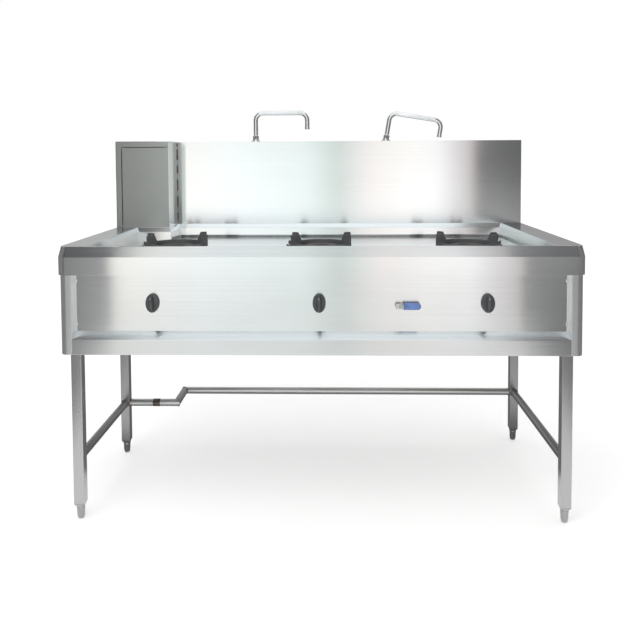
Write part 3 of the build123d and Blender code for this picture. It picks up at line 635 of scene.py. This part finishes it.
foldedSheets = {
    "width": 0.0035,          # both faces of a fold are at least this wide
    "sharp": 14,              # degrees
    "sheets": {               # radius of a node's folds, and its finish
        "rim_front": (0.0030, "sheet"),
        "rim_left": (0.0030, "rimDeep"),
        "rim_right": (0.0030, "rimDeep"),
        "rim_notch": (0.0022, "sheetSplash"),
        "rim_rear": (0.0022, "sheetSplash"),
        "side_panel_left": (0.0025, "sheetSide"),
        "side_panel_right": (0.0025, "sheetSide"),
        "bottom_rail": (0.0025, "sheetRail"),
        "splash_left_panel": (0.0008, "sheetDull"),
        "leg_front_left": (0.0035, "tube"),
        "leg_front_right": (0.0035, "tube"),
        "leg_rear_left": (0.0035, "tubeRear"),
        "leg_rear_right": (0.0035, "tubeRear"),
    },
}


def foldSheets(setup):
    wide, sharp = setup["width"], math.radians(setup["sharp"])

    def isFold(edge):         # an outside corner between two faces wider than the sheet is thick
        if len(edge.link_faces) != 2 or not edge.is_convex or edge.calc_face_angle() < sharp:
            return False
        return min(f.calc_area() for f in edge.link_faces) > wide * edge.calc_length()

    for node, (radius, finish) in setup["sheets"].items():
        mergedCopy(node)
        pick(isFold, "edges")
        bpy.ops.mesh.bevel(offset=radius, segments=3, affect="EDGES", clamp_overlap=True)
        piece = done(node + "_folded", "frame", finish, [node], closed=False)
        hold(piece)
        modify("WEIGHTED_NORMAL", keep_sharp=True)


foldSheets(foldedSheets)
print("sheets folded")

knobShape = {
    "skirt": (0.0185, 0.0270, 0.010),                      # half width, half height, depth
    "skirtSteps": [(0.65, 1), (0.25, 0.965), (0.1, 0.9)],  # shares of its depth, and how each draws in
    "grip": (0.0072, 0.0252, 0.0146),        # the bar across it: half width, half height, reach
    "gripSunk": 0.3,          # share of the skirt's depth that the bar starts in
    "gripFoot": 1.35,         # its width there
    "gripNeck": (0.85, 0.985),               # how it draws in at the skirt's front
    "gripSteps": [(0.75, 0.72, 0.95), (0.2, 0.8, 0.95), (0.05, 0.6, 0.93)],
    "mark": (-0.0002, 0.0162),               # centre of the pointer dot that carries the painted highlight, to the side and up
    "markSize": (0.0013, 0.0034),
    "markDepth": (0.0012, 0.0003),           # in the bar, and proud of it
    "markTop": 0.7,           # its top against its foot
    "voxel": 0.0008,
}


def makeKnobs(shape):
    _, back, middle = joints["knob_centre"]["pos_m"]
    wide, tall, deep = shape["skirt"]
    skirt = drawnOut((0, back, middle), (wide, tall), shares(deep, shape["skirtSteps"]), around=56)
    halfWide, halfTall, reach = shape["grip"]
    share = shape["gripSunk"]
    steps = [(deep * share, *shape["gripNeck"])]
    steps += [(reach * out, across, up) for out, across, up in shape["gripSteps"]]
    foot = (halfWide * shape["gripFoot"], halfTall)
    grip = drawnOut((0, back - deep * (1 - share), middle), foot, steps, around=40)
    body = join([skirt, grip])
    melted(shape["voxel"], rounds=3, keep=0.5)
    front = min(v.co.y for v in body.data.vertices)
    across, up = shape["mark"]
    sunk, proud = shape["markDepth"]
    # a pointer dot at the top of the grip bar; its grey is a painted highlight
    mark = drawnOut((across, front + sunk, middle + up), shape["markSize"],
                    [(sunk, 1, 1), (proud, shape["markTop"], shape["markTop"])])
    for side in sides:
        node = "knob_" + side
        shift = Matrix.Translation((joints[node]["pos_m"][0], 0, 0))
        copyOf(body, shift)
        done(node + "_moulding", node, "knob", [node], smooth=50)
        copyOf(mark, shift)
        done(node + "_pointer", node, "mark")
    for spare in (body, mark):
        bpy.data.objects.remove(spare)


makeKnobs(knobShape)
print("knobs moulded")

leverShape = {
    "plate": ((0.2150, 0.2770), (-0.3630, -0.3600), 0.0150),   # from, to across; from, to deep; height
    "plateEnds": (0.004, 0.001),             # corner radius of its two ends
    "plateEdge": 0.0004,
    "grip": ((0.2370, 0.2860), (-0.36575, -0.35925), 0.0190),
    "gripEnds": (0.0015, 0.0092),
    "gripEdge": 0.0014,
    "panel": (0.0022, 0.0004),               # rim round the bare panel on its face, and its depth
    "panelFloor": (0.985, 1, 0.95),          # its floor against its mouth
    "panelLeast": 0.0001,                    # the face it is sunk in is larger than this, square metres
    "nut": (0.0075, -0.3630, 0.0042),        # corner radius, seat, height
    "nutSteps": [(0.8, 1), (0.2, 0.86)],     # shares of its height, and how each draws in
    "stud": (0.0032, 0.0052),                # radius, and height over the seat
    "studSteps": [(0.85, 1), (0.15, 0.8)],
    "stem": (0.004, -0.345, -0.362),         # radius, from and to deep
}


def slab(across, deep, height, middle, endRounds, edge, segments):
    # a flat bar lying across, with rounded ends and eased edges, left in edit mode
    near = 0.0001             # metres
    deselect()
    centre = (sum(across) / 2, sum(deep) / 2, middle)
    bpy.ops.mesh.primitive_cube_add(size=1, location=centre)
    openEdit()
    bpy.ops.transform.resize(value=(across[1] - across[0], deep[1] - deep[0], height))
    settle()

    def isCorner(edge, end):  # it lies at this end and runs from front to back
        first, second = (v.co for v in edge.verts)
        return max(abs(first.x - end), abs(second.x - end)) < near < abs(first.y - second.y)

    openEdit("EDGE")
    for end, radius in zip(across, endRounds):
        pick(lambda edge: isCorner(edge, end), "edges")
        bpy.ops.mesh.bevel(offset=radius, segments=segments, affect="EDGES", clamp_overlap=True)
    modify("BEVEL", width=edge, segments=3, limit_method="ANGLE", angle_limit=math.radians(60))
    openEdit()


def makeLever(shape):
    x, _, z = joints["valve_lever"]["pos_m"]
    slab(*shape["plate"], z, shape["plateEnds"], shape["plateEdge"], segments=5)
    plate = settle()
    radius, back, front = shape["stem"]
    stem = drawnOut((x, back, z), (radius, radius), [(back - front, 1, 1)])
    join([plate, stem])
    done("valve_lever_plate", "valve_lever", "leverPlate", ["valve_lever"])
    radius, seat, height = shape["nut"]
    nut = drawnOut((x, seat, z), (radius, radius), shares(height, shape["nutSteps"]), around=6)
    radius, height = shape["stud"]
    stud = drawnOut((x, seat, z), (radius, radius), shares(height, shape["studSteps"]))
    join([nut, stud])
    done("valve_lever_nut", "valve_lever", "plated", smooth=25)
    slab(*shape["grip"], z, shape["gripEnds"], shape["gripEdge"], segments=8)
    pick(lambda f: f.normal.y < -0.99 and f.calc_area() > shape["panelLeast"])
    rim, sunk = shape["panel"]
    bpy.ops.mesh.inset(thickness=rim)
    extrude(0, sunk, 0)
    bpy.ops.transform.resize(value=shape["panelFloor"])
    done("valve_lever_grip", "valve_lever", "grip", smooth=40)


makeLever(leverShape)
print("lever dipped")

castings = {                  # keep is the share of its triangles that stays, and turns are in degrees
    "grate": {"voxel": 0.0016, "rounds": 3, "keep": 0.35, "finish": "castIron",
              "turns": {"left": 12.8, "centre": 0.0, "right": 169.4}},
    "burner": {"voxel": 0.0014, "rounds": 2, "keep": 0.35, "finish": "burnerIron",
               "turns": {"left": 0.0, "centre": 0.0, "right": 0.0}},
}


def makeCastings(kinds):
    for kind, setup in kinds.items():
        pattern = mergedCopy(kind + "_centre")
        melted(setup["voxel"], setup["rounds"], setup["keep"])
        middle = Vector(burnerPlaces[1])
        for side, place in zip(sides, burnerPlaces):
            turn = Matrix.Rotation(math.radians(setup["turns"][side]), 4, "Z")
            copyOf(pattern, Matrix.Translation(place) @ turn @ Matrix.Translation(-middle))
            node = kind + "_" + side
            body = node if kind == "grate" else "frame"
            done(node + "_casting", body, setup["finish"], [node], smooth=60)
        bpy.data.objects.remove(pattern)


makeCastings(castings)
print("grates and burners cast")

bowlShape = {
    "steps": [(0.0, 0.0699), (-0.0025, 0.0692), (-0.0100, 0.0640), (-0.0135, 0.0560), (-0.0140, 0.0470)],
    "top": -0.0002,           # its lip under the basin floor's top
    "sheet": 0.0008,
}


def makeBowls(shape):
    steps = shape["steps"]
    deselect()
    bpy.ops.mesh.primitive_circle_add(vertices=48, radius=steps[0][1], location=(0, 0, shape["top"]))
    openEdit("EDGE")
    for (high, before), (low, radius) in zip(steps, steps[1:]):
        extrude(0, 0, low - high)
        size = radius / before
        bpy.ops.transform.resize(value=(size, size, 1), center_override=(0, 0, 0))
    modify("SOLIDIFY", thickness=shape["sheet"], offset=0)
    pattern = settle()
    join([copyOf(pattern, Matrix.Translation(place)) for place in burnerPlaces])
    done("burner_bowls", "frame", "bowl")
    bpy.data.objects.remove(pattern)


makeBowls(bowlShape)
print("bowls pressed")

spoutShape = {
    "tube": 0.0085,           # outside radius
    "wall": 0.0015,
    "seat": 0.0203,           # tube's lower end above the socket's flange
    "arm": 0.104,             # arm's centreline above it
    "reach": 0.195,
    "drop": 0.062,
    "bend": 0.028,
    "bendSteps": 10,
    "tip": (0.0006, 0.009),   # how far the nozzle stands proud, and its length
    "pin": (0.006, 0.0135),   # radius and length of what turns in the socket
    "plug": (0.0003, 0.003),  # the pin's head in the tube: how far inside its face, and its height
}
socketShape = {
    "flange": [(-0.024, 0.0070), (-0.004, 0.0070), (-0.004, 0.0170), (-0.0015, 0.0170), (0.0, 0.0155),
               (0.0004, 0.0128), (0.0040, 0.0122), (0.0075, 0.0108)],
    "nut": [(0.004, 0.0110), (0.0055, 0.0124), (0.0175, 0.0124), (0.0190, 0.0112), (0.0200, 0.0095)],
}


def makeSpouts(shape, socket):
    sockets = []
    tube, bend = shape["tube"], shape["bend"]
    proud, tip = shape["tip"]
    pin, length = shape["pin"]
    inside, plug = shape["plug"]

    def bendDown(x, y, z):    # a quarter bend to the right or down, about a line from front to back
        bpy.ops.mesh.spin(steps=shape["bendSteps"], angle=math.radians(-90), center=(x, y, z),
                          axis=(0, 1, 0))

    for node in ("spout_left", "spout_right"):
        base, axis = joints[node]["pos_m"], Vector(joints[node]["axis"])
        x, y, z = base
        leaning = about(base, Vector((0, 0, 1)).rotation_difference(axis).to_matrix().to_4x4())
        bottom, top, far = z + shape["seat"], z + shape["arm"], x + shape["reach"]
        deselect()
        bpy.ops.mesh.primitive_circle_add(vertices=28, radius=tube, location=(x, y, bottom))
        openEdit("EDGE")
        extrude(0, 0, top - bend - bottom)
        bendDown(x + bend, y, top - bend)
        extrude(shape["reach"] - 2 * bend, 0, 0)
        bendDown(far - bend, y, top - bend)
        extrude(0, 0, bend + tip - shape["drop"])
        extrude(0, 0, -proud)
        wider = (tube + proud) / tube
        bpy.ops.transform.resize(value=(wider, wider, 1), center_override=(far, y, top))
        extrude(0, 0, proud - tip)
        openEdit("VERT")
        bpy.ops.mesh.remove_doubles(threshold=mergeWithin)
        bpy.ops.mesh.normals_make_consistent(inside=False)
        modify("SOLIDIFY", thickness=shape["wall"], offset=-1)
        pipe = settle()
        head = tube - inside
        stopper = turned([(0, pin), (length, pin), (length, head), (length + plug, head)],
                         (x, y, bottom - length), around=24)
        join([pipe, stopper])
        moved(leaning)
        done(node + "_tube", node, "spout", [node], smooth=40)
        sockets.append(turned(socket["flange"], base, around=36))
        turned(socket["nut"], base, around=6)
        sockets.append(moved(leaning))
    join(sockets)
    done("spout_sockets", "frame", "spout", ["spout_bases"], smooth=30)


makeSpouts(spoutShape, socketShape)
print("spouts bent")

footShape = {
    "profile": [(0.0, 0.0070), (0.0012, 0.0080), (0.0050, 0.0097), (0.0120, 0.0108), (0.0260, 0.0114),
                (0.0265, 0.0108), (0.0280, 0.0108), (0.0285, 0.0117), (0.0345, 0.0120), (0.0360, 0.0112)],
    "stud": (0.0050, 0.0046, 0.0015, 0.038),     # crest and root radius of its thread, pitch, length
    "thread": (0.35, 0.55, 0.9),                 # where its crest starts and ends and its root starts, as
                                                 # shares of the pitch
}


def makeFeet(shape):
    crest, root, pitch, length = shape["stud"]
    rise, fall, flat = (pitch * share for share in shape["thread"])
    top = shape["profile"][-1][0]
    steps = shape["profile"] + [(top, root)]
    for turn in range(int(length / pitch)):
        start = top + turn * pitch
        steps += [(start + rise, crest), (start + fall, crest), (start + flat, root)]
    pattern = turned(steps, (0, 0, 0), around=28)
    for corner in corners:
        node = "foot_" + corner
        x, y, _ = middleOf("leg_" + corner)
        copyOf(pattern, Matrix.Translation((x, y, 0)))
        done(node + "_turned", node, "foot", [node], smooth=40)
    bpy.data.objects.remove(pattern)
    mergedCopy("leg_inserts")
    done("leg_inserts_smooth", "frame", "foot", ["leg_inserts"], smooth=30, closed=False)


makeFeet(footShape)
print("feet turned")

screwShape = {
    "head": [(-0.004, 0.0019), (0.0, 0.0019), (0.0, 0.0040), (0.0007, 0.0040), (0.0015, 0.0034),
             (0.0021, 0.0024), (0.0024, 0.0012)],
    "cross": (0.0042, 0.0008, 0.0012),           # arm's length, width and depth
    "turn": (20, 37),         # degrees the first screw's cross is turned, and each next one more
}


def makeScrews(shape):
    head = turned(shape["head"], (0, 0, 0), around=28)
    length, width, depth = shape["cross"]
    top = shape["head"][-1][0]
    for size in ((length, width), (width, length)):
        deselect()
        bpy.ops.mesh.primitive_cube_add(size=1, location=(0, 0, top))
        openEdit()
        bpy.ops.transform.resize(value=(*size, depth * 2))
        bpy.ops.object.mode_set(mode="OBJECT")
        cutter = bpy.context.object
        hold(head)
        modify("BOOLEAN", object=cutter, operation="DIFFERENCE", solver="EXACT")
        bpy.data.objects.remove(cutter)
    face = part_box("front_panel")[0].y
    low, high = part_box("panel_screws")
    inset = max(radius for height, radius in shape["head"])
    places = [(x, z) for x in (low.x + inset, high.x - inset) for z in (low.z + inset, high.z - inset)]
    first, more = shape["turn"]
    copies = []
    for index, (x, z) in enumerate(places):
        spun = Matrix.Rotation(math.radians(first + more * index), 4, "Z")
        turn = Matrix.Rotation(math.radians(90), 4, "X") @ spun
        copies.append(copyOf(head, Matrix.Translation((x, face, z)) @ turn))
    bpy.data.objects.remove(head)
    join(copies)
    done("panel_screws_driven", "frame", "screw", ["panel_screws"], smooth=30)


makeScrews(screwShape)
print("screws driven")

weldShape = {
    "tube": 0.0125,           # radius of the stretchers
    "height": 0.180,          # their middle line
    "step": -0.518,           # where the rear one steps forward, across
    "bead": (0.0022, 0.16),   # radius of the bead round an end, and how much every other step of it swells
    "mitreBead": (0.0011, 0.0),
    "cornerOff": 0.0006,      # middle of the weld in the splashback's inner corner, off both its sheets
    "dashes": [(0.812, 0.842), (0.862, 0.905), (0.925, 0.968), (0.990, 1.022), (1.040, 1.082),
               (1.090, 1.104)],
    "dashBead": (0.0024, 0.5, 0.0035),           # radius, swelling, and length of a ripple
    "rim": [(0.7300, -0.3630, 0.7998), (0.6640, -0.3550, 0.7998), (0.6550, -0.2970, 0.7500)],
    "rimBead": (0.0007, 0.3, 0.004),
    # painted shadow: the dark line along the left splash panel's side and top edges
    "seams": [((-0.7186, 0.1758, 0.802), (-0.7186, 0.1758, 1.0880)),
              ((-0.7186, 0.1758, 1.0884), (-0.549, 0.1758, 1.0884))],
    "seamBead": (0.0026, 0.0, 0.02),
}


def beadRing(centre, turn, radius, thick, ripple, steps=44):
    # a rippled bead round a tube: a small circle spun once round, every other ring swollen
    deselect()
    bpy.ops.mesh.primitive_circle_add(vertices=8, radius=thick, location=(radius, 0, 0),
                                      rotation=(math.radians(90), 0, 0))
    settle()
    openEdit("VERT")
    bpy.ops.mesh.spin(steps=steps, angle=math.radians(360), center=(0, 0, 0), axis=(0, 0, 1))
    bpy.ops.mesh.select_all(action="SELECT")
    bpy.ops.mesh.remove_doubles(threshold=mergeWithin)
    step = math.radians(360 / steps)
    pick(lambda v: round(math.atan2(v.co.y, v.co.x) / step) % 2 == 0, "verts")
    bpy.ops.transform.resize(value=(1, 1, 1 + ripple), center_override=(0, 0, 0))
    return moved(Matrix.Translation(centre) @ turn)


def beadRun(start, end, thick, ripple, pitch):
    # a rippled bead from start to end, its ends drawn in
    narrow = thick * 0.3
    start, end = Vector(start), Vector(end)
    along = end - start
    count = max(4, int(along.length / pitch))
    steps = [(0, narrow)]
    for i in range(1, count):
        steps.append((along.length * i / count, thick * (1 + ripple * (i % 2) - ripple / 2)))
    steps.append((along.length, narrow))
    turned(steps, (0, 0, 0), around=8)
    return moved(Matrix.Translation(start) @ along.to_track_quat("Z", "Y").to_matrix().to_4x4())


def weldStretchers(shape):
    height, places = shape["height"], []
    lyingDeep = Matrix.Rotation(math.radians(90), 4, "X")
    lyingAcross = Matrix.Rotation(math.radians(90), 4, "Y")
    for corner in corners:
        low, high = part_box("leg_" + corner)
        face = high.y if corner.startswith("front") else low.y
        places.append((((low.x + high.x) / 2, face, height), lyingDeep))
    for corner in ("rear_left", "rear_right"):
        low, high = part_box("leg_" + corner)
        face = high.x if corner == "rear_left" else low.x
        places.append(((face, (low.y + high.y) / 2, height), lyingAcross))
    rings = [beadRing(centre, turn, shape["tube"], *shape["bead"]) for centre, turn in places]
    stretch = Matrix.Scale(math.sqrt(2), 4, (1, 0, 0))
    mitre = Matrix.Rotation(math.radians(-45), 4, "Z") @ lyingDeep @ stretch
    for corner in ("rear_left", "rear_right"):
        centre = (shape["step"], middleOf("leg_" + corner).y, height)
        rings.append(beadRing(centre, mitre, shape["tube"], *shape["mitreBead"]))
    join(rings)
    done("stretcher_welds", "frame", "weld")


def weldSheetsAndPaintShadowLine(shape):
    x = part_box("splash_return")[1].x + shape["cornerOff"]
    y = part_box("splash_main")[0].y - shape["cornerOff"]
    join([beadRun((x, y, low), (x, y, high), *shape["dashBead"]) for low, high in shape["dashes"]])
    done("splash_corner_weld", "frame", "weld")
    runs = []
    for mirror in (-1, 1):
        points = [(px * mirror, py, pz) for px, py, pz in shape["rim"]]
        runs += [beadRun(a, b, *shape["rimBead"]) for a, b in zip(points, points[1:])]
    join(runs)
    done("rim_corner_welds", "frame", "groundWeld")
    # painted shadow: a dark strip along the left splash panel's edges
    join([beadRun(a, b, *shape["seamBead"]) for a, b in shape["seams"]])
    done("splash_panel_seam", "frame", "seam")


weldStretchers(weldShape)
weldSheetsAndPaintShadowLine(weldShape)
print("welds run")

# a thin sleeve on the rear stretcher, made dark as a painted reflection of the front-left leg
reflectionBandShape = {
    "across": (-0.6020, -0.5770),
    "radius": 0.0132,
    "inside": 0.0123,         # just under the stretcher's own radius
    "edge": (0.0006, 0.0003), # its eased edges, along and in
}
trimShape = {
    "width": 0.016,
    "thick": 0.0009,
    "gap": 0.0001,            # behind it, to the splashback's face
    "ends": (0.0001, 0.0001),
    "edge": 0.0006,
}


def fitReflectionBand(shape, height):
    left, right = shape["across"]
    length, radius, inner = right - left, shape["radius"], shape["inside"]
    along, drop = shape["edge"]
    turned([(0, inner), (0, radius - drop), (along, radius), (length - along, radius),
            (length, radius - drop), (length, inner)], (0, 0, 0), around=36)
    lying = Matrix.Rotation(math.radians(90), 4, "Y")
    moved(Matrix.Translation((left, middleOf("leg_rear_left").y, height)) @ lying)
    done("stretcher_sleeve", "frame", "sleeve", smooth=30)


def setTrim(shape):
    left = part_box("splash_return")[1].x
    low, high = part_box("splash_main")
    back = low.y - shape["gap"]
    slab((left, left + shape["width"]), (back - shape["thick"], back), high.z - low.z,
         (low.z + high.z) / 2, shape["ends"], shape["edge"], segments=1)
    done("splash_corner_trim", "frame", "sheetDull")


fitReflectionBand(reflectionBandShape, weldShape["height"])
setTrim(trimShape)
print("sleeve and trim fitted")
